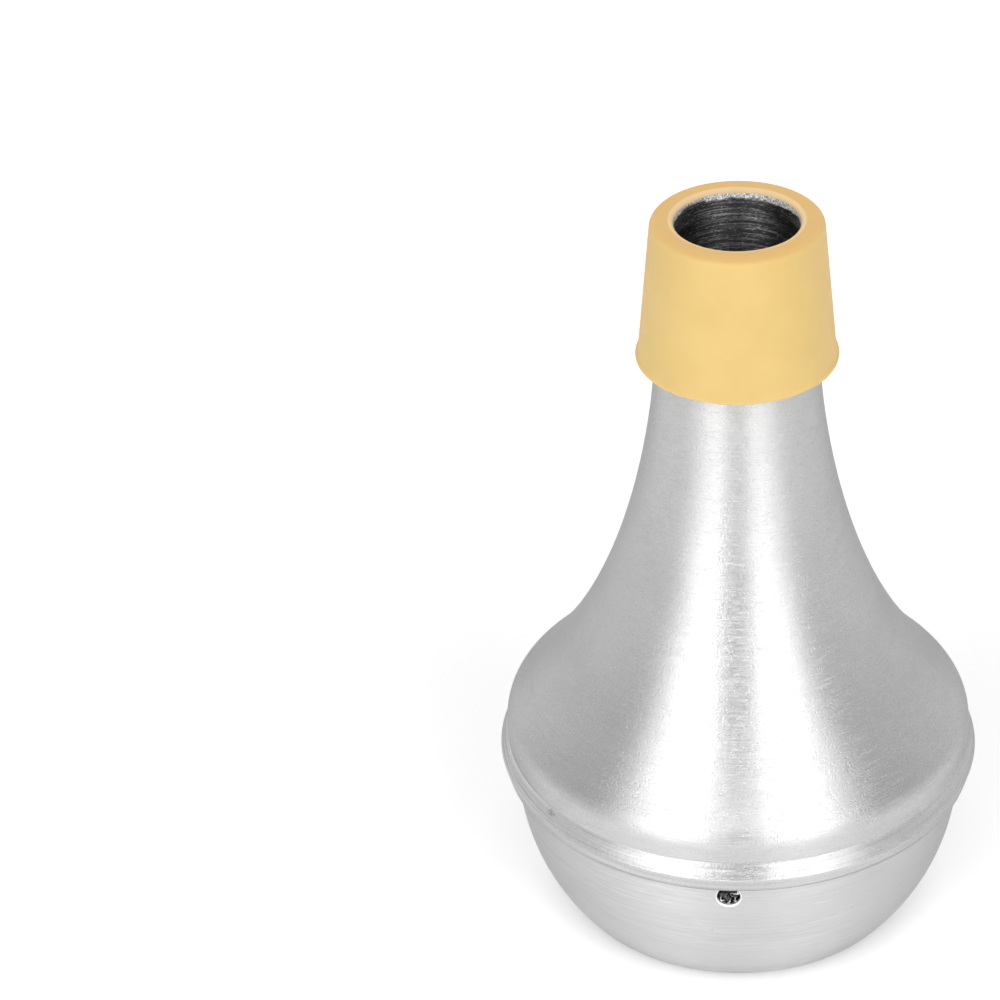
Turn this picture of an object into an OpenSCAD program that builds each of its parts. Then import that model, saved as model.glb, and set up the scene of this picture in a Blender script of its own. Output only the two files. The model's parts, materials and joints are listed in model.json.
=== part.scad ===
// Practice mute for a trumpet: two spun aluminium shells joined at a rolled band,
// a moulded elastomer collar on the neck, and a felt strip behind the vent.
// The origin is the centre of the flat base, +Z runs up the axis through the neck,
// and the vent looks towards -Y.

/* [Sheet] */
// Thickness of the spun aluminium sheet
wall_t = 1.15; // [0.8:0.05:1.5]

/* [Bowl] */
// Outer radius of the bowl's spherical wall
bowl_r = 44.35; // [40:0.05:48]
// Height of the bowl's widest level above the base
bowl_depth = 28.6; // [24:0.1:34]
// Outer radius of the corner between the base and the wall
base_corner_r = 3; // [2:0.25:6]
// Height of the straight rim above the bowl's widest level
bowl_rim_h = 10.8; // [8:0.1:12]

/* [Vent] */
// Diameter of the vent hole
vent_d = 4.8; // [3:0.1:6]
// Drop of the vent's centre below the band's lower lip
vent_drop = 3.25; // [3:0.05:6]
// Turn of the vent from the front, seen from above, clockwise
vent_turn = 2.1; // [0:0.1:15]

/* [Band] */
// Height of the band's lower lip above the bowl's widest level
lip_rise = 2.4; // [2:0.1:4]
// Height of the band's outer face
band_face_h = 3.2; // [2:0.1:5]
// Height of the sloping ledge above the band's outer edge
ledge_h = 3.1; // [1.5:0.1:4]
// Distance that the band's outer edge stands out from the waist
band_out = 1.45; // [0.8:0.05:2.5]
// Distance that the lower lip draws in from the band's outer edge
lip_in = 0.8; // [0.3:0.05:1.2]
// Radius of the lip's lower outer corner
lip_corner_r = 0.4; // [0.2:0.05:0.6]

/* [Shoulder and flare] */
// Height of the upright waist above the ledge
waist_h = 2.9; // [1.5:0.1:5]
// Outer radius of the shoulder's rounding
shoulder_r = 5.8; // [4:0.1:9]
// Slope of the flare where it leaves the shoulder, in degrees from upright
shoulder_slope = 45.6; // [38:0.2:52]
// Height of the flare from the shoulder to the foot of the neck
flare_h = 71.75; // [60:0.25:85]
// Length over which the flare keeps the shoulder's slope
flare_hold_low = 25.9; // [18:0.1:34]
// Length over which the flare keeps the neck's slope
flare_hold_top = 22.6; // [14:0.1:30]

/* [Neck] */
// Outer radius at the foot of the neck
neck_foot_r = 16; // [14.5:0.05:18]
// Outer radius at the top of the neck
neck_top_r = 12.75; // [11.5:0.05:14]
// Height of the neck's plain cone
neck_h = 34.3; // [30:0.1:42]
// Width of the bevel at the mouth of the bore
mouth_bevel = 0.2; // [0.1:0.05:0.6]
// Depth of the bevel at the mouth of the bore
mouth_bevel_h = 0.95; // [0.3:0.05:1.5]

/* [Collar] */
// Height of the collar
collar_h = 28.6; // [24:0.1:33]
// Thickness of the collar's cap over the end of the neck
cap_t = 0.8; // [0.7:0.05:1.8]
// Thickness of the collar's wall at its top
collar_wall_top = 3.55; // [2.5:0.05:5]
// Thickness of the collar's wall at its foot
collar_wall_foot = 3.4; // [2.5:0.05:5]
// Radius of the collar's rounded top edge
collar_top_round = 1.5; // [0.8:0.05:2.2]
// Radius of the collar's inner top edge
collar_mouth_round = 0.8; // [0.1:0.05:0.8]
// Distance that the collar's foot lip stands out
foot_lip_out = 0.65; // [0.2:0.05:1]
// Radius of the foot lip's rounded edge, half its thickness
foot_lip_edge = 0.5; // [0.3:0.05:0.8]
// Height over which the wall runs out into the foot lip
foot_lip_blend = 1.8; // [1.2:0.1:3]

/* [Seal and felt] */
// Radial thickness of the sealing ring between bowl and band
seal_t = 0.55; // [0.3:0.05:0.9]
// Distance of the sealing ring above the lower lip
seal_inset = 0.5; // [0.2:0.05:1]
// Distance of the sealing ring below the bowl's edge
seal_top_gap = 0.8; // [0.4:0.1:2]
// Thickness of the felt strip at the bowl's widest level
felt_t = 2; // [1:0.1:4]
// Depth of the felt strip below the bowl's widest level
felt_below = 9; // [6:0.5:14]
// Height of the felt strip above the bowl's widest level
felt_above = 2.5; // [1.5:0.1:6]

/* [Smoothness] */
// Sides of a full turn
turn_sides = 180; // [48:12:360]
// Steps along the flare's curve
flare_steps = 48; // [16:4:80]
// Steps along each rounded edge and corner
corner_steps = 8; // [4:1:16]
// Steps along the bowl's spherical wall
bowl_steps = 30; // [12:2:60]

/* [Hidden] */

$fn = turn_sides;

// Levels, from the base up
lip_z = bowl_depth + lip_rise;
band_edge_z = lip_z + band_face_h;
ledge_top_z = band_edge_z + ledge_h;
shoulder_z = ledge_top_z + waist_h;
neck_foot_z = shoulder_z + shoulder_r * sin(shoulder_slope) + flare_h;
neck_top_z = neck_foot_z + neck_h;
collar_top_z = neck_top_z + cap_t;
collar_foot_z = collar_top_z - collar_h;
bowl_edge_z = bowl_depth + bowl_rim_h;

// Radii of the shell where it holds the bowl
bowl_in_r = bowl_r - wall_t;
socket_r = bowl_r + seal_t;
waist_r = socket_r + wall_t;
band_r = waist_r + band_out;
lip_r = band_r - lip_in;

// The neck's cone: its slope and its wall measured level
neck_slope = atan((neck_foot_r - neck_top_r) / neck_h);
neck_wall = wall_t / cos(neck_slope);
mouth_r = neck_top_r - neck_wall + mouth_bevel;

// Points are [radius, height] on the right half of a section through the axis

function arc(centre, radius, from, to, steps) =
    [for (i = [0 : steps])
        let (a = from + (to - from) * i / steps)
        centre + radius * [cos(a), sin(a)]];

function bezier(p, t) =
    pow(1 - t, 3) * p[0] + 3 * pow(1 - t, 2) * t * p[1]
    + 3 * (1 - t) * t * t * p[2] + pow(t, 3) * p[3];

function bezier_slope(p, t) =
    3 * pow(1 - t, 2) * (p[1] - p[0]) + 6 * (1 - t) * t * (p[2] - p[1])
    + 3 * t * t * (p[3] - p[2]);

// The outward side of a line that runs down the section
function outward(d) = [-d[1], d[0]] / norm(d);

// Outer radius of the neck's cone at a height
function neck_r(z) = neck_top_r + (neck_top_z - z) * tan(neck_slope);

shoulder_centre = [waist_r - shoulder_r, shoulder_z];
shoulder_end = shoulder_centre + shoulder_r * [cos(shoulder_slope), sin(shoulder_slope)];
neck_foot = [neck_foot_r, neck_foot_z];
flare = [
    neck_foot,
    neck_foot + flare_hold_top * [sin(neck_slope), -cos(neck_slope)],
    shoulder_end + flare_hold_low * [-sin(shoulder_slope), cos(shoulder_slope)],
    shoulder_end];

// The spun wall from the top of the neck down to the waist, set in from the outer face
function spun_wall(inset) = concat(
    [[neck_top_r - inset / cos(neck_slope), neck_top_z]],
    [for (i = [0 : flare_steps - 1])
        let (t = i / flare_steps)
        bezier(flare, t) - inset * outward(bezier_slope(flare, t))],
    arc(shoulder_centre, shoulder_r - inset, shoulder_slope, 0, corner_steps));

// Ledge, outer edge and lower lip of the band, from the waist down
function band_face() =
    let (lean = atan(lip_in / band_face_h))
    concat(
        [[waist_r, ledge_top_z], [band_r, band_edge_z]],
        arc([lip_r - lip_corner_r, lip_z + lip_corner_r], lip_corner_r, -lean, -90, corner_steps),
        [[socket_r, lip_z]]);

function reversed(points) = [for (i = [len(points) - 1 : -1 : 0]) points[i]];

// The inner face up to the bore's mouth, which is bevelled
function inner_wall() =
    let (points = reversed(spun_wall(wall_t)), last = len(points) - 1)
    concat(
        [for (i = [0 : last - 1]) points[i]],
        [[neck_r(neck_top_z - mouth_bevel_h) - neck_wall, neck_top_z - mouth_bevel_h],
         [mouth_r, neck_top_z]]);

module flare_shell() {
    color("#c9cbcd")
        rotate_extrude()
            polygon(concat(spun_wall(0), band_face(), inner_wall()));
}

// The bowl's wall from its edge down to the middle of the base, set in from the outer face
function bowl_wall(inset) =
    let (corner = [sqrt(pow(bowl_r - base_corner_r, 2) - pow(bowl_depth - base_corner_r, 2)),
                   base_corner_r],
         meet = -atan((bowl_depth - base_corner_r) / corner[0]))
    concat(
        [[bowl_r - inset, bowl_edge_z]],
        arc([0, bowl_depth], bowl_r - inset, 0, meet, bowl_steps),
        [for (p = arc(corner, base_corner_r - inset, meet, -90, corner_steps)) if (p[0] > 0) p],
        [[0, inset]]);

module vent_hole() {
    translate([0, 0, lip_z - vent_drop])
        rotate([90, 0, -vent_turn])
            translate([0, 0, bowl_in_r / 2])
                cylinder(h = bowl_r, d = vent_d);
}

module bowl() {
    color("#cdcfd1")
        difference() {
            rotate_extrude()
                polygon(concat(bowl_wall(0), reversed(bowl_wall(wall_t))));
            vent_hole();
        }
}

// Ring of sealing compound that fills the socket between the bowl and the band
module seam_seal() {
    seal_foot_z = lip_z + seal_inset;
    color("#4a4a4c")
        translate([0, 0, seal_foot_z])
            difference() {
                cylinder(h = bowl_edge_z - seal_top_gap - seal_foot_z, r = socket_r);
                translate([0, 0, -1])
                    cylinder(h = bowl_edge_z - seal_foot_z + 2, r = bowl_r);
            }
}

// Felt strip round the inside of the bowl, behind the vent
module damping_felt() {
    low = -asin(felt_below / bowl_in_r);
    felt_in_r = bowl_in_r * cos(low) - felt_t * cos(low);
    color("#8d8d8b")
        rotate_extrude()
            polygon(concat(
                [[bowl_in_r, bowl_depth + felt_above]],
                arc([0, bowl_depth], bowl_in_r, 0, low, corner_steps),
                [[felt_in_r, bowl_depth - felt_below],
                 [bowl_in_r - felt_t, bowl_depth],
                 [bowl_in_r - felt_t, bowl_depth + felt_above]]));
}

// Outer face of the collar, from its mouth over the top edge and down to the foot
function collar_face() =
    let (top_r = neck_top_r + collar_wall_top,
         taper_z = collar_foot_z + 2 * foot_lip_edge + foot_lip_blend,
         taper_r = neck_r(taper_z) + collar_wall_foot,
         taper = atan((taper_r - top_r) / (collar_top_z - collar_top_round - taper_z)),
         edge = [taper_r + foot_lip_out - foot_lip_edge, collar_foot_z + foot_lip_edge],
         edge_turn = 50,
         edge_top = edge + foot_lip_edge * [cos(edge_turn), sin(edge_turn)],
         mouth_round = min(collar_mouth_round, cap_t),
         blend = [
             [taper_r, taper_z],
             [taper_r, taper_z] + foot_lip_blend / 2 * [sin(taper), -cos(taper)],
             edge_top + foot_lip_edge * [-sin(edge_turn), cos(edge_turn)],
             edge_top])
    concat(
        arc([mouth_r + mouth_round, collar_top_z - mouth_round],
            mouth_round, 180, 90, corner_steps),
        arc([top_r - collar_top_round, collar_top_z - collar_top_round],
            collar_top_round, 90, taper, corner_steps * 2),
        [for (i = [0 : corner_steps - 1]) bezier(blend, i / corner_steps)],
        arc(edge, foot_lip_edge, edge_turn, -90, corner_steps));

module neck_collar() {
    color("#f5d38c")
        rotate_extrude()
            polygon(concat(
                cap_t > collar_mouth_round ? [[mouth_r, neck_top_z]] : [],
                collar_face(),
                [[neck_r(collar_foot_z), collar_foot_z], [neck_top_r, neck_top_z]]));
}

flare_shell();
bowl();
seam_seal();
damping_felt();
neck_collar();
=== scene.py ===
"""Looks for the practice mute: camera, light, floor and the finish of every piece."""
import json
import math
import random
from functools import reduce

import bpy
from mathutils import Matrix, Vector, noise

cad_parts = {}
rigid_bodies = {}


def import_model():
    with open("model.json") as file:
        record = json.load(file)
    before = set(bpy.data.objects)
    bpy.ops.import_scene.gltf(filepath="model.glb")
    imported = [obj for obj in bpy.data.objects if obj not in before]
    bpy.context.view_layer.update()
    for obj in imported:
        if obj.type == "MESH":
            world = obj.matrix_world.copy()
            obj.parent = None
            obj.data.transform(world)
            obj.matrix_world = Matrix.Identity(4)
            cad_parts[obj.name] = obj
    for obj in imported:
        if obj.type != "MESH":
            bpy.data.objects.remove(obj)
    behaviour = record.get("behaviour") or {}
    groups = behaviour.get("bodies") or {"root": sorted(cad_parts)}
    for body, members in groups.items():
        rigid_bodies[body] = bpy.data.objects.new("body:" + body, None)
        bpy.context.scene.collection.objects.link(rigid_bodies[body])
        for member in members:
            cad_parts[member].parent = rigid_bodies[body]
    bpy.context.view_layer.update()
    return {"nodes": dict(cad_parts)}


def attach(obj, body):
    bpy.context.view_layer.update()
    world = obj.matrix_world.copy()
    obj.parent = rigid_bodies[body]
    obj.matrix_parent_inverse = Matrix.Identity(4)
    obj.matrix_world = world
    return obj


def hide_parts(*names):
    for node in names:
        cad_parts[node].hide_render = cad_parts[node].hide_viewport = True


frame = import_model()
for stray in [o for o in bpy.data.objects if o.name in ("Cube", "Light", "Camera")]:
    bpy.data.objects.remove(stray)

MM = 0.001

# The photograph's frame, and where the mute's axis stands in it
PHOTO_PX = 1000
AXIS_PX = (737.1, 590.0)        # pixel of the point on the axis that the camera is set by
AXIS_Z = 0.06898                # height of that point
CAMERA_PITCH = math.radians(34.0)
CAMERA_RANGE = 0.7049           # distance of the camera from that point
FOCAL_PX = 3586.0               # focal length in pixels of the photograph
SENSOR_MM = 36.0

# Sizes that the finishes and the added pieces follow, as in the solid model
BOWL_R = 44.35 * MM
BOWL_DEPTH = 28.6 * MM
WALL_T = 1.15 * MM
LIP_Z = 31.0 * MM
VENT_R = 2.4 * MM
VENT_Z = LIP_Z - 3.25 * MM
VENT_TURN = math.radians(2.1)
FELT_T = 2.0 * MM
FELT_BELOW = 9.0 * MM
FELT_ABOVE = 2.5 * MM
BORE_MOUTH_R = 11.8 * MM
NECK_TOP_Z = 150.4 * MM
COLLAR_TOP_Z = 151.2 * MM
COLLAR_FOOT_Z = 122.6 * MM

VENT_OUT = Vector((-math.sin(VENT_TURN), -math.cos(VENT_TURN), 0.0))
VENT_ACROSS = Vector((math.cos(VENT_TURN), -math.sin(VENT_TURN), 0.0))

# The felt strip, and the dent that the vent has in it
FELT_GAP = 0.02 * MM            # between the strip and the bowl's wall
FELT_EDGE = 1.2 * MM            # height in which the strip thins towards its edges
FELT_STEPS, FELT_ROWS = 480, 20
FELT_RIPPLES = 9.0 * MM         # the height that its unevenness takes for one radian round
POCKET_DEPTH = 1.35 * MM
POCKET_R = 3.6 * MM
POCKET_SLOPE = 1.6 * MM

# The fibres that curl up into the vent, and the vent's torn edge
FIBRES, FIBRE_POINTS = 18, 9
FIBRE_REACH = 0.86 * VENT_R
FIBRE_ROOT = 1.3 * MM           # below the wall's inner face
FIBRE_ROOF_STEP = 0.4 * MM      # right of this place in the vent they may come higher
LEFT_ROOF, RIGHT_ROOF = 0.95 * MM, 1.25 * MM
BURR_POINTS = 6
BURR_INSET = 0.12               # mm between the vent's edge and a burr's root
BURR_ROOT_R, BURR_TIP_R = 0.15 * MM, 0.05 * MM
TUBE_SIDES = 5
RIM_STEPS = 96
# Burrs: degrees round the vent, depth in walls, length in mm, degrees of swing
BURRS = [(215.0, 0.75, 0.6, 25.0), (236.0, 0.75, 0.5, -30.0), (262.0, 0.75, 0.7, 20.0),
         (284.0, 0.7, 0.5, -25.0), (303.0, 0.75, 0.9, 30.0), (322.0, 0.7, 0.6, -20.0),
         (24.0, 0.25, 1.3, 36.0), (38.0, 0.4, 0.5, -20.0)]

# The background, as levels of light: a floor with a brighter oval pool, and a plain sky
WORLD_LEVELS = (0.55, 0.42, 0.25)   # at the horizon, overhead, and as ambient light
WORLD_DIMMING = (0.5, 0.95)         # sines of the elevations between which it dims
FLOOR_HALF = 4.0
FLOOR_COLOUR = 0.75
FLOOR_GLOW = (0.46, 0.62, 0.36)     # near the mute, behind it and far away
POOL_CENTRE = (-0.05, 0.06, 0.0)
POOL_SHAPE = (1.0, 0.6, 1.0)        # the pool is longer from front to back
POOL_FRONT, POOL_BACK = 0.0, 0.42   # between these it changes from near to behind
POOL_FULL, POOL_END = 0.25, 0.42    # the pool's inner and outer edge
FOOT_SHADE = (0.024, 0.044)         # the floor under the bowl has no glow

BOX_REACH = 1.1                     # distance of every soft box from the mute
BOX_AIM_Z = 0.07                    # height that they lean towards
# Soft boxes: name, span to the side, degrees above level (over 90 is behind), length, radiance
STRIP = ("strip", (0.285, 0.7), 37.5, 1.4, 3.1)
WING = ("wing", (0.7, 1.26), 37.5, 1.4, 1.6)
FILL = ("fill", (0.35, 1.15), 145.0, 1.0, 0.6)
TOP_RISE, TOP_WIDTH, TOP_LENGTH, TOP_RADIANCE = 65.0, 0.3, 0.5, 2.8

# The brushed metal: its tint where it is seen edge on, and its relief in millimetres
EDGE_TINT = (0.5, 0.5, 0.5, 1.0)
STREAK_RELIEF = 0.06                # times the strength of a piece's streaks
SPARKLE_RELIEF = 0.055
COARSE_RELIEF = 0.003
HAIRLINE_RELIEF = 0.018
MARK_RELIEF = 0.05
SPARKLE_CELL = (0.33, 0.22)         # mm round the axis and along the profile
HAIRLINE_R = 0.04                   # radius at which the hairlines are laid out flat
# Hairlines: angle to the grain, length and gap in mm, level of noise, place in it
HAIRLINES = [(62.0, 7.0, 0.3, 0.70, 0.0), (-57.0, 6.0, 0.3, 0.71, 5.0),
             (12.0, 9.0, 0.26, 0.69, 9.0), (-8.0, 11.0, 0.26, 0.69, 15.0)]

# Marks by hand, and one patch of painted shade: degrees round, height, angle, length and width in
# millimetres
SHELL_DENTS = [(-51.7, 36.6, 40.0, 0.8, 0.3), (-50.8, 36.2, 0.0, 1.1, 0.3),
               (-49.8, 36.5, -35.0, 0.7, 0.26), (78.9, 44.3, 0.0, 0.35, 0.35),
               (64.5, 42.45, 4.0, 1.3, 0.25)]
SHELL_SCRATCHES = [(32.8, 64.1, 0.0, 5.6, 0.24), (35.6, 64.9, 0.0, 6.0, 0.2),
                   (27.4, 62.2, 52.0, 2.2, 0.14), (28.6, 61.8, 50.0, 1.8, 0.14),
                   (30.0, 61.9, 48.0, 1.4, 0.12), (33.6, 41.3, 55.0, 2.6, 0.2),
                   (34.6, 41.2, 58.0, 1.8, 0.16), (-3.1, 35.9, 24.0, 1.7, 0.22)]
# The first patch is a painted dark reflection on the ledge; the second is wear at the band's left
# end
SHELL_WEAR_AND_SHADE = [(3.3, 35.8, 0.0, 8.5, 4.0), (-50.9, 36.4, 8.0, 3.4, 1.7)]
BOWL_DENTS = [(-6.4, 18.5, 12.0, 0.5, 0.4), (31.0, 20.0, 0.0, 0.6, 0.3)]
BOWL_SCRATCHES = [(-18.0, 24.6, 6.0, 5.0, 0.16), (22.0, 24.0, -5.0, 6.0, 0.16)]
BOWL_WORN = [(152.0, 12.0, 8.0, 7.0, 2.4)]


class Graph:
    """A node tree, written as short calls that hand back sockets."""

    def __init__(self, tree):
        self.tree = tree

    def put(self, socket, value):
        if isinstance(value, bpy.types.NodeSocket):
            self.tree.links.new(value, socket)
        else:
            socket.default_value = value

    def node(self, kind, inputs, out=0, **settings):
        made = self.tree.nodes.new("ShaderNode" + kind)
        for key, value in settings.items():
            setattr(made, key, value)
        for key, value in inputs.items():
            self.put(made.inputs[key], value)
        return made.outputs[out]

    def math(self, op, a, b=0.0, c=0.0):
        return self.node("Math", {0: a, 1: b, 2: c}, operation=op)

    def add(self, a, b):
        return self.math("ADD", a, b)

    def sub(self, a, b):
        return self.math("SUBTRACT", a, b)

    def mul(self, a, b):
        return self.math("MULTIPLY", a, b)

    def most(self, values):
        """The greatest of several values."""
        return reduce(lambda a, b: self.math("MAXIMUM", a, b), values)

    def average(self, a, b, share):
        """A share of the first value and the rest of the second."""
        return self.add(self.mul(a, share), self.mul(b, 1.0 - share))

    def vec(self, x, y, z):
        return self.node("CombineXYZ", {0: x, 1: y, 2: z})

    def split(self, vector):
        made = self.tree.nodes.new("ShaderNodeSeparateXYZ")
        self.put(made.inputs[0], vector)
        return made.outputs[0], made.outputs[1], made.outputs[2]

    def length(self, vector):
        return self.node("VectorMath", {0: vector}, out="Value", operation="LENGTH")

    def dot(self, a, b):
        return self.node("VectorMath", {0: a, 1: b}, out="Value", operation="DOT_PRODUCT")

    def place(self):
        return self.node("TexCoord", {}, out="Object")

    def noise(self, vector, scale=1.0, detail=2.0, rough=0.5, warp=0.0):
        return self.node("TexNoise", {"Vector": vector, "Scale": scale, "Detail": detail,
                                      "Roughness": rough, "Distortion": warp})

    def ramp(self, value, low, high, to_low=0.0, to_high=1.0):
        """From one value to another, with soft ends."""
        return self.node("MapRange", {0: value, 1: low, 2: high, 3: to_low, 4: to_high},
                         interpolation_type="SMOOTHSTEP")

    def spread(self, value, low, high, to_low, to_high):
        """From one value to another, in a straight line."""
        return self.node("MapRange", {0: value, 1: low, 2: high, 3: to_low, 4: to_high})

    def vary(self, noise_value, least, most):
        """From least to most over the range that a noise mostly takes."""
        return self.spread(noise_value, 0.3, 0.7, least, most)

    def shade(self, colour, mask, level):
        """A colour times a level, where the mask is 1."""
        return self.mul(colour, self.spread(mask, 0.0, 1.0, 1.0, level))

    def blend(self, factor, a, b):
        return self.node("Mix", {0: factor, 2: a, 3: b}, data_type="FLOAT")

    def tint(self, factor, a, b):
        return self.node("Mix", {0: factor, 6: a, 7: b}, out=2, data_type="RGBA")

    def bump(self, height, depth):
        return self.node("Bump", {"Height": height, "Distance": depth})

    def grey(self, value):
        return self.node("CombineColor", {0: value, 1: value, 2: value})

    def seen_ray(self):
        """1 for the rays that show the background: to the camera, off metal, through glass."""
        path = self.tree.nodes.new("ShaderNodeLightPath")
        return self.most(path.outputs[kind] for kind in
                         ("Is Camera Ray", "Is Glossy Ray", "Is Transmission Ray"))


class Finish(Graph):
    """A material with one shader."""

    def __init__(self, name):
        self.mat = bpy.data.materials.new(name)
        self.mat.use_nodes = True
        super().__init__(self.mat.node_tree)
        self.shader = self.tree.nodes["Principled BSDF"]

    def set(self, **values):
        for key, value in values.items():
            self.put(self.shader.inputs[key.replace("_", " ")], value)


class Turned(Finish):
    """A material for turned metal: coordinates round the axis and along the profile."""

    def __init__(self, name, lean):
        super().__init__(name)
        self.x, self.y, self.z = self.split(self.place())
        level = self.vec(self.x, self.y, 0.0)
        self.r = self.length(level)
        self.way = self.node("VectorMath", {0: level}, operation="NORMALIZE")
        self.way_x, self.way_y, _ = self.split(self.way)
        self.turn = self.math("ARCTAN2", self.x, self.mul(self.y, -1.0))
        self.along = self.math("MULTIPLY_ADD", self.r, lean, self.z)
        self.flat = self.vec(self.mul(self.turn, self.r), self.z, 0.0)

    def spun(self, round_rate, fine_mm, shift=0.0):
        """Coordinates for grain that runs round the axis: cells per radian, and their height."""
        return self.vec(self.mul(self.way_x, round_rate), self.mul(self.way_y, round_rate),
                        self.math("MULTIPLY_ADD", self.along, 1.0 / (fine_mm * MM), shift))

    def grained(self, round_mm, fine_mm, shift=0.0):
        """Coordinates for grain of one real size all over, longer round the axis."""
        return self.vec(self.mul(self.x, 1.0 / (round_mm * MM)),
                        self.mul(self.y, 1.0 / (round_mm * MM)),
                        self.math("MULTIPLY_ADD", self.along, 1.0 / (fine_mm * MM), shift))

    def stripe(self, value, middle, half, soft):
        """1 where a value lies within a stripe, in metres."""
        off = self.math("ABSOLUTE", self.add(value, -middle))
        return self.ramp(off, half, half + soft, 1.0, 0.0)

    def hairlines(self, angle, length_mm, gap_mm, level, shift):
        """Sparse straight scratches at an angle to the grain, where a stretched noise peaks."""
        flat = self.vec(self.mul(self.turn, HAIRLINE_R), self.along, 0.0)
        laid = self.node("Mapping", {"Vector": flat, "Rotation": (0.0, 0.0, math.radians(angle)),
                                     "Scale": (1 / (length_mm * MM), 1 / (gap_mm * MM), 1.0),
                                     "Location": (shift, shift, 0.0)}, vector_type="POINT")
        return self.ramp(self.noise(laid, detail=0.0), level, level + 0.07)

    def mark(self, turn, height, angle, length, width, core):
        """1 in one oval mark, and 0 from its rim outwards. Core is the part that is full."""
        middle = self.vec(self.mul(self.r, math.radians(turn)), height * MM, 0.0)
        shifted = self.node("VectorMath", {0: self.flat, 1: middle}, operation="SUBTRACT")
        local = self.node("Mapping", {
            "Vector": shifted, "Rotation": (0.0, 0.0, math.radians(angle)),
            "Scale": (length * MM / 2, width * MM / 2, 1.0)}, vector_type="TEXTURE")
        return self.ramp(self.length(local), core, 1.0, 1.0, 0.0)

    def marks(self, spots, core=0.35):
        """Single dents and scratches: degrees round, height, angle, length, width in mm."""
        return self.most(self.mark(*spot, core) for spot in spots)

    def inside(self):
        """1 on the faces that look in towards the axis."""
        normal = self.node("NewGeometry", {}, out="Normal")
        return self.ramp(self.dot(normal, self.way), -0.35, -0.1, 1.0, 0.0)


def rgb(red, green, blue):
    """A colour that is given as it shows on a screen, from 0 to 255."""
    def linear(level):
        level /= 255.0
        return level / 12.92 if level <= 0.04045 else ((level + 0.055) / 1.055) ** 2.4
    return linear(red), linear(green), linear(blue), 1.0


def brushed(name, lean, grey, rough, stretch, streak, dents, scratches, wear_and_shade, details):
    """Spun aluminium, brushed round the axis, with hairlines, grit, marks by hand and patches of
    wear and painted shade.
    """
    g = Turned(name, lean)
    long_streaks = g.noise(g.spun(2.6, 0.42), detail=3.0, rough=0.6)
    fine_streaks = g.noise(g.spun(9.0, 0.2, 7.0), detail=2.0, rough=0.55)
    streaks = g.average(long_streaks, fine_streaks, 0.55)
    sparkle = g.noise(g.grained(*SPARKLE_CELL), detail=0.0)
    coarse = g.noise(g.grained(1.5, 0.2, 5.0), detail=1.0, rough=0.5)
    hair = g.most(g.hairlines(*lines) for lines in HAIRLINES)
    dent = g.marks(dents)
    scratch = g.marks(scratches)
    # Patches of wear and of painted shade darken the colour and press the metal in
    mottle = g.mul(g.marks(wear_and_shade, core=0.25), g.ramp(g.average(sparkle, coarse, 0.5), 0.44, 0.56))

    height = g.add(g.mul(streaks, STREAK_RELIEF * streak), g.mul(sparkle, SPARKLE_RELIEF))
    height = g.add(height, g.mul(coarse, COARSE_RELIEF))
    height = g.sub(height, g.mul(hair, HAIRLINE_RELIEF))
    pressed = g.most([dent, scratch, g.mul(mottle, 0.8)])
    height = g.sub(height, g.mul(pressed, MARK_RELIEF))

    cloud = g.noise(g.spun(2.0, 16.0, 11.0), detail=3.0)
    patches = g.ramp(g.noise(g.spun(1.4, 9.0, 31.0), detail=2.0), 0.35, 0.65, 0.35, 1.5)
    lines = g.mul(g.add(streaks, -0.5), patches)
    level = g.math("MULTIPLY_ADD", lines, 4.0 * streak, 1.0)
    level = g.mul(level, g.vary(cloud, 0.97, 1.03))
    level = g.mul(level, g.vary(sparkle, 0.985, 1.015))
    level = g.shade(level, dent, 0.65)
    level = g.shade(level, mottle, 0.6)
    level = g.shade(level, scratch, 1.3)

    grain_rough = g.vary(sparkle, rough - 0.03, rough + 0.03)
    colour, roughness, metal = details(g, g.mul(level, grey), grain_rough)
    g.set(Base_Color=g.grey(colour), Roughness=roughness, Metallic=metal)
    g.set(Anisotropic=stretch, Anisotropic_Rotation=0.25, Specular_Tint=EDGE_TINT,
          Tangent=g.node("Tangent", {}, direction_type="RADIAL", axis="Z"))
    g.set(Normal=g.bump(height, MM))
    return g.mat


def band_lines(g, colour):
    """Dark lines at the band's lip, one of grime and painted shade and a fainter one of painted
    shade, and scored lines on the band, stronger at its left.
    """
    wander = g.add(g.noise(g.spun(3.0, 6.0, 4.0), detail=2.0), -0.5)
    low = g.math("MULTIPLY_ADD", wander, 0.5 * MM, g.z)
    on_band = g.math("GREATER_THAN", g.r, BOWL_R)
    # Painted shade: a dark line of grime and shade just above the lip's edge, and above it a
    # fainter painted shade line that has no relief
    grime_and_shade = g.stripe(low, LIP_Z + 0.2 * MM, half=0.12 * MM, soft=0.18 * MM)
    groove_shade = g.stripe(low, LIP_Z + 0.68 * MM, half=0.05 * MM, soft=0.13 * MM)
    colour = g.shade(colour, g.mul(grime_and_shade, on_band), 0.62)
    colour = g.shade(colour, g.mul(groove_shade, on_band), 0.84)
    scored = g.add(g.noise(g.spun(1.4, 0.34, 23.0), detail=2.0, rough=0.6), -0.5)
    strength = g.mul(g.ramp(g.z, LIP_Z + 6.4 * MM, LIP_Z + 7.6 * MM, 1.0, 0.0),
                     g.ramp(g.way_x, -0.9, -0.2, 1.5, 0.6))
    return g.mul(colour, g.math("MULTIPLY_ADD", scored, strength, 1.0))


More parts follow.
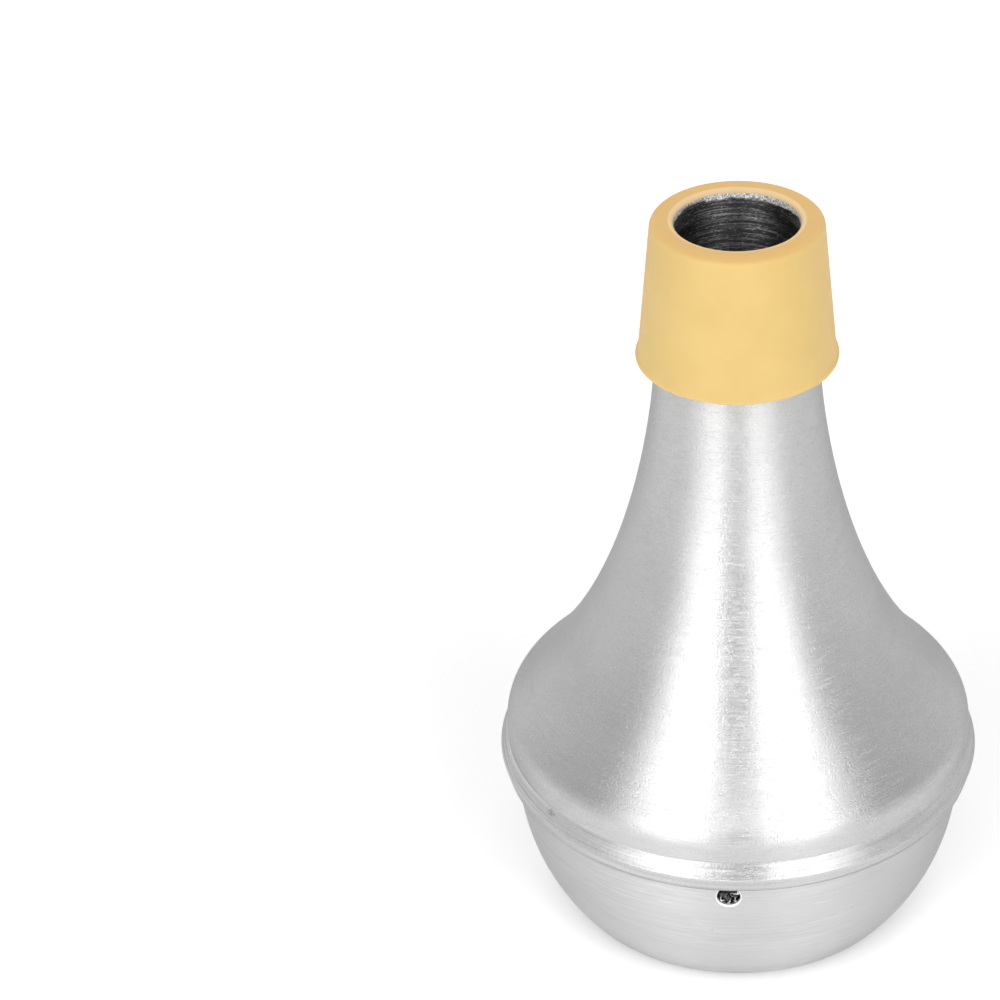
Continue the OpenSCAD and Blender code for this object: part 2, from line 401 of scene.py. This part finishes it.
def bore_colour(g):
    """The dark bore, with chattered streaks round it and bright flecks."""
    arcs = g.noise(g.spun(1.5, 0.3, 2.0), detail=4.0, rough=0.65)
    chatter = g.noise(g.spun(16.0, 0.26, 9.0), detail=3.0, rough=0.7)
    bands = g.noise(g.spun(1.1, 1.6, 6.0), detail=2.0)
    lit = g.ramp(g.average(arcs, chatter, 0.62), 0.48, 0.64)
    fleck = g.ramp(chatter, 0.64, 0.72)
    bore = g.add(g.blend(lit, 0.08, 0.44), g.mul(fleck, 0.7))
    return g.mul(bore, g.vary(bands, 0.6, 1.4))


def torn_rim(g):
    """Where the bore's mouth is torn bright, with a ragged edge, and how bright it is."""
    ragged = g.noise(g.spun(7.0, 1.3, 13.0), detail=3.0, rough=0.65)
    broad = g.noise(g.spun(1.0, 6.0, 19.0), detail=1.0)
    edge = g.math("MULTIPLY_ADD", g.average(ragged, broad, 0.55), 3.4 * MM, g.z)
    edge = g.math("MULTIPLY_ADD", g.way_y, 0.35 * MM, edge)
    torn = g.noise(g.spun(40.0, 0.3, 17.0), detail=3.0, rough=0.7)
    return (g.ramp(edge, NECK_TOP_Z + 0.8 * MM, NECK_TOP_Z + 1.3 * MM),
            g.blend(g.ramp(torn, 0.36, 0.62), 0.25, 1.0))


def shell_details(g, colour, roughness):
    """The band's lines, the streaked bore and the bright torn rim at its mouth."""
    inner = g.inside()
    ragged, rim_colour = torn_rim(g)
    rim = g.mul(inner, ragged)
    colour = g.blend(rim, g.blend(inner, band_lines(g, colour), bore_colour(g)), rim_colour)
    return colour, g.blend(inner, roughness, 0.5), g.blend(rim, 1.0, 0.25)


def bowl_details(g, colour, roughness):
    """The drilled wall of the vent, dark with torn bright flecks, and the inside, set to a darker
    grey.
    """
    aside = g.dot(g.vec(g.x, g.y, 0.0), VENT_ACROSS)
    above = g.add(g.z, -VENT_Z)
    reach = g.length(g.vec(aside, above, 0.0))
    drilled = g.mul(g.ramp(reach, VENT_R + 0.01 * MM, VENT_R + 0.04 * MM, 1.0, 0.0),
                    g.math("LESS_THAN", g.y, 0.0))
    torn = g.noise(g.grained(0.6, 0.5, 24.0), detail=3.0, rough=0.65)
    wall = g.blend(g.ramp(torn, 0.42, 0.52), 0.05, 1.0)
    colour = g.blend(g.inside(), colour, 0.16)
    colour = g.blend(drilled, colour, wall)
    return colour, g.blend(drilled, roughness, 0.45), 1.0


def cut_edge(name):
    """Freshly cut aluminium: brighter than the brushed face and faintly torn."""
    g = Finish(name)
    tear = g.noise(g.place(), scale=3200.0, detail=3.0, rough=0.6)
    g.set(Base_Color=g.grey(g.vary(tear, 0.8, 1.0)), Metallic=1.0)
    g.set(Roughness=g.vary(tear, 0.3, 0.5), Normal=g.bump(tear, 0.05 * MM))
    return g.mat


def elastomer(name):
    """The collar: a soft, slightly clear elastomer, with painted shade on top and painted
    highlights at its mouth and foot.
    """
    g = Turned(name, lean=0.0)
    place = g.vec(g.x, g.y, g.z)
    cloud = g.noise(place, scale=70.0, detail=3.0)
    fine = g.noise(place, scale=900.0, detail=2.0)
    skin = g.noise(place, scale=2600.0, detail=2.0)
    body = g.tint(g.ramp(cloud, 0.3, 0.7), rgb(228, 200, 131), rgb(233, 206, 138))
    wander = g.math("MULTIPLY_ADD", cloud, 0.5 * MM, g.z)
    # Painted shade: the top is tinted a darker tan where it faces up, away from the frontal lamps
    top = g.ramp(wander, COLLAR_TOP_Z - 0.75 * MM, COLLAR_TOP_Z + 0.1 * MM)
    body = g.tint(g.mul(top, 0.85), body, rgb(224, 186, 123))
    # Painted highlight: a pale ring at the rounded inner edge of the mouth
    mouth = g.mul(g.ramp(g.r, BORE_MOUTH_R + 0.75 * MM, BORE_MOUTH_R + 1.15 * MM, 1.0, 0.0),
                  g.math("GREATER_THAN", g.z, NECK_TOP_Z - 0.1 * MM))
    body = g.tint(g.mul(mouth, 0.8), body, rgb(238, 211, 170))
    # Painted highlight: a pale band along the lip of the foot
    foot = g.ramp(wander, COLLAR_FOOT_Z + 0.35 * MM, COLLAR_FOOT_Z + 1.0 * MM, 1.0, 0.0)
    body = g.tint(g.mul(foot, 0.7), body, rgb(243, 216, 161))
    g.set(Base_Color=body, Roughness=g.vary(fine, 0.4, 0.5), Diffuse_Roughness=1.0)
    g.set(Normal=g.bump(g.average(fine, skin, 0.7), 0.02 * MM), Specular_IOR_Level=0.25)
    g.set(Sheen_Weight=0.7, Sheen_Roughness=0.35, Sheen_Tint=(1.0, 0.5, 0.15, 1.0))
    g.set(Subsurface_Weight=0.15, Subsurface_Radius=(1.0, 0.55, 0.25), Subsurface_Scale=0.003)
    return g.mat


def rubber_seal(name):
    """The dark sealing ring, lumpy and matt."""
    g = Finish(name)
    lumps = g.noise(g.place(), scale=900.0, detail=3.0)
    g.set(Base_Color=g.tint(lumps, rgb(46, 46, 47), rgb(92, 92, 93)))
    g.set(Roughness=g.vary(lumps, 0.5, 0.8), Normal=g.bump(lumps, 0.15 * MM))
    return g.mat


def felt_cloth(name, dark, light):
    """Grey felt: matted fibres that differ in tone, with a soft sheen."""
    g = Finish(name)
    place = g.place()
    matted = g.noise(place, scale=1600.0, detail=4.0, rough=0.7, warp=1.5)
    clumps = g.noise(place, scale=420.0, detail=3.0)
    tone = g.average(matted, clumps, 0.7)
    g.set(Base_Color=g.tint(g.ramp(tone, 0.38, 0.6), dark, light))
    g.set(Normal=g.bump(tone, 0.3 * MM))
    g.set(Roughness=0.95, Sheen_Weight=0.2, Sheen_Roughness=0.5)
    return g.mat


def white_stage(name, colour, near_glow, back_glow, far_glow):
    """A pale floor that shows white round the mute where no shadow falls, also in metal."""
    g = Finish(name)
    g.set(Base_Color=(colour, colour, colour, 1.0), Roughness=0.9, Specular_IOR_Level=0.0)
    place = g.place()
    _, back, _ = g.split(place)
    oval = g.node("VectorMath", {0: place, 1: POOL_SHAPE}, operation="MULTIPLY")
    away = g.node("VectorMath", {0: oval, 1: POOL_CENTRE}, out="Value", operation="DISTANCE")
    near = g.spread(back, POOL_FRONT, POOL_BACK, near_glow, back_glow)
    near = g.mul(near, g.ramp(g.length(place), *FOOT_SHADE))
    glow = g.blend(g.ramp(away, POOL_FULL, POOL_END), near, far_glow)
    g.set(Emission_Color=(1.0, 1.0, 1.0, 1.0), Emission_Strength=g.mul(g.seen_ray(), glow))
    return g.mat


def make_world(horizon, overhead, ambient):
    """A pale studio, dimmer overhead. Dull surfaces get only its plain ambient light."""
    world = bpy.data.worlds.new("studio")
    bpy.context.scene.world = world
    world.use_nodes = True
    g = Graph(world.node_tree)
    _, _, rise = g.split(g.node("TexCoord", {}, out="Generated"))
    back = g.tree.nodes["Background"]
    back.inputs["Color"].default_value = (1.0, 1.0, 1.0, 1.0)
    shown = g.ramp(rise, *WORLD_DIMMING, horizon, overhead)
    g.put(back.inputs["Strength"], g.blend(g.seen_ray(), ambient, shown))


def make_floor():
    """One flat square under the mute."""
    mesh = bpy.data.meshes.new("floor")
    corners = [(-1, -1), (1, -1), (1, 1), (-1, 1)]
    mesh.from_pydata([(FLOOR_HALF * x, FLOOR_HALF * y, 0) for x, y in corners], [], [(0, 1, 2, 3)])
    floor = bpy.data.objects.new("floor", mesh)
    bpy.context.collection.objects.link(floor)
    mesh.materials.append(white_stage("pale_floor", FLOOR_COLOUR, *FLOOR_GLOW))


def make_camera():
    """A camera that sees the axis point at its pixel, with the axis upright there."""
    target = Vector((0.0, 0.0, AXIS_Z))
    away = Vector((0.0, -math.cos(CAMERA_PITCH), math.sin(CAMERA_PITCH)))
    place = target + CAMERA_RANGE * away

    half = PHOTO_PX / 2
    ray = Vector((AXIS_PX[0] - half, half - AXIS_PX[1], -FOCAL_PX)).normalized()
    side = ray.cross(Vector((0.0, 1.0, 0.0))).normalized()
    seen = Matrix((ray, side, ray.cross(side))).transposed()

    look = -away
    across = look.cross(Vector((0.0, 0.0, 1.0))).normalized()
    real = Matrix((look, across, look.cross(across))).transposed()

    data = bpy.data.cameras.new("photo_camera")
    data.sensor_width = SENSOR_MM
    data.lens = FOCAL_PX / PHOTO_PX * SENSOR_MM
    camera = bpy.data.objects.new("photo_camera", data)
    camera.matrix_world = Matrix.Translation(place) @ (real @ seen.transposed()).to_4x4()
    bpy.context.collection.objects.link(camera)
    bpy.context.scene.camera = camera


def soft_box(name, offset, rise, width, length, radiance):
    """A soft box that leans over the mute, with its edges along X level."""
    data = bpy.data.lights.new(name, "AREA")
    data.shape = "RECTANGLE"
    data.size, data.size_y = width, length
    data.energy = radiance * math.pi * width * length
    lamp = bpy.data.objects.new(name, data)
    angle = math.radians(rise)
    lamp.location = (offset, -BOX_REACH * math.cos(angle), BOX_AIM_Z + BOX_REACH * math.sin(angle))
    lamp.rotation_euler = (math.radians(90.0) - angle, 0.0, 0.0)
    lamp.visible_camera = False
    bpy.context.collection.objects.link(lamp)


def soft_boxes_aside(boxes):
    """The same soft boxes on the left and on the right."""
    for side, sign in (("left", -1.0), ("right", 1.0)):
        for name, (inner, outer), rise, length, radiance in boxes:
            soft_box(f"{side}_{name}", sign * (inner + outer) / 2, rise,
                     outer - inner, length, radiance)


def make_piece(name, verts, faces, material, smooth=True):
    """A mesh that rides with the mute and takes the finish that it is given."""
    mesh = bpy.data.meshes.new(name)
    mesh.from_pydata(verts, [], faces)
    mesh.polygons.foreach_set("use_smooth", [smooth] * len(mesh.polygons))
    mesh.materials.append(material)
    piece = bpy.data.objects.new(name, mesh)
    bpy.context.collection.objects.link(piece)
    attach(piece, "root")
    return piece


def circle(count):
    """Evenly spaced angles round a full turn."""
    return [2 * math.pi * i / count for i in range(count)]


def shares(count):
    """Evenly spaced shares from 0 to 1."""
    return [k / (count - 1) for k in range(count)]


def ring_faces(steps, count):
    """Faces of a closed section of points that is carried round in steps."""
    faces = []
    for i in range(steps):
        here, ahead = i * count, (i + 1) % steps * count
        for k in range(count):
            m = (k + 1) % count
            faces.append((here + k, ahead + k, ahead + m, here + m))
    return faces


def tube(points, radii, sides):
    """Vertices and faces of a tube along points, with its own radius at each and flat ends."""
    verts, faces = [], []
    last = len(points) - 1
    for i, centre in enumerate(points):
        run = (points[min(i + 1, last)] - points[max(i - 1, 0)]).normalized()
        side = run.orthogonal().normalized() if abs(run.z) > 0.9 else \
            run.cross(Vector((0.0, 0.0, 1.0))).normalized()
        lift = run.cross(side)
        for turn in circle(sides):
            verts.append(centre + radii[i] * (math.cos(turn) * side + math.sin(turn) * lift))
    for i in range(last):
        here, ahead = i * sides, (i + 1) * sides
        for k in range(sides):
            m = (k + 1) % sides
            faces.append((here + k, here + m, ahead + m, ahead + k))
    faces.append(tuple(range(sides))[::-1])
    faces.append(tuple(last * sides + k for k in range(sides)))
    return verts, faces


def make_tubes(name, paths, material, smooth=True):
    """One piece of many tubes. Each path is its points and the radius at each."""
    verts, faces = [], []
    for points, radii in paths:
        some_verts, some_faces = tube(points, radii, TUBE_SIDES)
        faces += [tuple(len(verts) + n for n in face) for face in some_faces]
        verts += some_verts
    make_piece(name, verts, faces, material, smooth)


def vent_point(aside, up, out):
    """A point by the vent: metres to the right, upwards, and out from the bowl's face."""
    height = VENT_Z + up
    face = math.sqrt(BOWL_R ** 2 - aside ** 2 - (height - BOWL_DEPTH) ** 2)
    return VENT_OUT * (face + out) + VENT_ACROSS * aside + Vector((0.0, 0.0, height))


def rim_section(side, up):
    """The chamfer's section at one place round the vent: radius, and distance out of the face."""
    wobble = noise.noise(Vector((side, up, 0.3)) * 3.1)
    width = (0.2 + 0.2 * max(0.0, -up) + 0.07 * wobble) * MM
    depth = (0.3 + 0.12 * max(0.0, -up) + 0.05 * wobble) * MM
    return [(VENT_R + 0.16 * MM, -0.02 * MM), (VENT_R + 0.12 * MM, 0.03 * MM),
            (VENT_R - 0.04 * MM, 0.02 * MM), (VENT_R - 0.6 * width, -0.45 * depth),
            (VENT_R - width, -depth), (VENT_R - 0.9 * width, -1.15 * depth),
            (VENT_R + 0.05 * MM, -1.2 * depth)]


def make_vent_rim(material):
    """The bright chamfer that the drill left in the vent's mouth, uneven and wider below."""
    verts = []
    for turn in circle(RIM_STEPS):
        side, up = math.cos(turn), math.sin(turn)
        section = rim_section(side, up)
        verts += [vent_point(radius * side, radius * up, out) for radius, out in section]
    faces = ring_faces(RIM_STEPS, len(section))
    make_piece("vent_rim", verts, faces, material)


def felt_pocket(turn, height):
    """Depth of the dent that the vent has in the felt behind it."""
    aside = BOWL_R * ((turn + VENT_TURN + math.pi) % (2 * math.pi) - math.pi)
    away = math.hypot(aside, height + BOWL_DEPTH - VENT_Z)
    return POCKET_DEPTH * min(1.0, max(0.0, (POCKET_R - away) / POCKET_SLOPE))


def felt_thickness(turn, height):
    """The strip's thickness: thinner towards its edges, and a little uneven all over."""
    edge = min(FELT_ABOVE - height, height + FELT_BELOW) / FELT_EDGE
    thick = FELT_T * (0.45 + 0.55 * math.sqrt(min(1.0, max(0.0, edge))))
    spot = Vector((math.cos(turn), math.sin(turn), height / FELT_RIPPLES))
    return thick * (0.9 + 0.14 * noise.noise(spot * 7.0) + 0.08 * noise.noise(spot * 30.0))


def make_felt(material):
    """The felt strip behind the vent: a soft uneven band that lies on the bowl's inner wall."""
    wall_r = BOWL_R - WALL_T - FELT_GAP
    verts = []
    for turn in circle(FELT_STEPS):
        flat = Vector((math.sin(turn), -math.cos(turn), 0.0))
        outer, inner = [], []
        for k in range(FELT_ROWS):
            height = FELT_ABOVE - (FELT_ABOVE + FELT_BELOW) * k / (FELT_ROWS - 1)
            reach = math.sqrt(wall_r ** 2 - min(0.0, height) ** 2)
            outer.append((reach - felt_pocket(turn, height), height))
            inner.append((reach - felt_thickness(turn, height), height))
        for reach, height in outer + inner[::-1]:
            verts.append(flat * reach + Vector((0.0, 0.0, BOWL_DEPTH + height)))
    faces = [(a, d, c, b) for a, b, c, d in ring_faces(FELT_STEPS, 2 * FELT_ROWS)]
    piece = make_piece("felt_strip", verts, faces, material)
    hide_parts("damping_felt")


def make_felt_fibres(material):
    """Loose fibres of the felt that curl up into the vent."""
    dice = random.Random(7)
    paths = []
    for _ in range(FIBRES):
        spot = 2 * math.pi * dice.random()
        far = VENT_R * 0.8 * math.sqrt(dice.random())
        root = Vector((far * math.cos(spot), 0.4 * far * math.sin(spot) - 1.1 * MM, 0.0))
        lift = dice.uniform(0.5, 1.5) * MM
        drift = Vector((dice.uniform(-0.6, 1.7), dice.uniform(-0.8, 0.9), 0.0)) * MM
        bend = Vector((dice.uniform(-0.8, 0.8), dice.uniform(-0.6, 0.6), 0.0)) * MM
        points = []
        for part in shares(FIBRE_POINTS):
            place = root + (drift * part + bend * math.sin(math.pi * part))
            if place.length > FIBRE_REACH:
                place *= FIBRE_REACH / place.length
            out = -WALL_T - FIBRE_ROOT + lift * math.sin(0.75 * math.pi * part)
            roof = RIGHT_ROOF if place.x > FIBRE_ROOF_STEP else LEFT_ROOF
            place.y = min(place.y, 0.67 * out + roof)
            points.append(vent_point(place.x, place.y, out))
        thick = dice.uniform(0.035, 0.08) * MM
        paths.append((points, [thick] * len(points)))
    make_tubes("felt_fibres", paths, material)


def make_burrs(material):
    """Torn slivers of metal that the drill left standing at the vent's inner edge."""
    dice = random.Random(11)
    paths = []
    for spot, depth, length, swing in BURRS:
        points, radii = [], []
        for part in shares(BURR_POINTS):
            far = VENT_R - (BURR_INSET + length * part) * MM
            turn = math.radians(spot + swing * part * part)
            out = -depth * WALL_T + 0.3 * MM * math.sin(math.pi * part)
            points.append(vent_point(far * math.cos(turn), far * math.sin(turn), out))
            radius = BURR_ROOT_R + (BURR_TIP_R - BURR_ROOT_R) * part
            radii.append(radius * dice.uniform(0.8, 1.2))
        paths.append((points, radii))
    make_tubes("vent_burrs", paths, material, smooth=False)


make_camera()
make_world(*WORLD_LEVELS)
make_floor()
soft_boxes_aside([STRIP, WING])
soft_box("top_box", 0.0, TOP_RISE, TOP_WIDTH, TOP_LENGTH, TOP_RADIANCE)
soft_boxes_aside([FILL])

finishes = {
    "flare_shell": brushed("brushed_shell", lean=-1.0, grey=0.64, rough=0.30, stretch=0.95,
                           streak=0.05, dents=SHELL_DENTS, scratches=SHELL_SCRATCHES,
                           wear_and_shade=SHELL_WEAR_AND_SHADE, details=shell_details),
    "bowl": brushed("brushed_bowl", lean=1.0, grey=0.645, rough=0.36, stretch=0.88,
                    streak=0.11, dents=BOWL_DENTS, scratches=BOWL_SCRATCHES,
                    wear_and_shade=BOWL_WORN, details=bowl_details),
    "seam_seal": rubber_seal("seal_rubber"),
    "neck_collar": elastomer("collar_skin"),
}
for node_name, finish in finishes.items():
    frame["nodes"][node_name].material_slots[0].material = finish
fresh_metal = cut_edge("fresh_cut")
make_vent_rim(fresh_metal)
make_burrs(fresh_metal)
# Painted shade: the felt strip takes a near-black grey, darker than its own fibres, for the shade
# inside the vent
make_felt(felt_cloth("felt", rgb(10, 10, 10), rgb(60, 60, 59)))
# Painted highlight: the fibres take a lighter copy of the same felt
make_felt_fibres(felt_cloth("fibre", rgb(80, 80, 79), rgb(205, 205, 202)))

bpy.context.scene.view_settings.view_transform = "Standard"
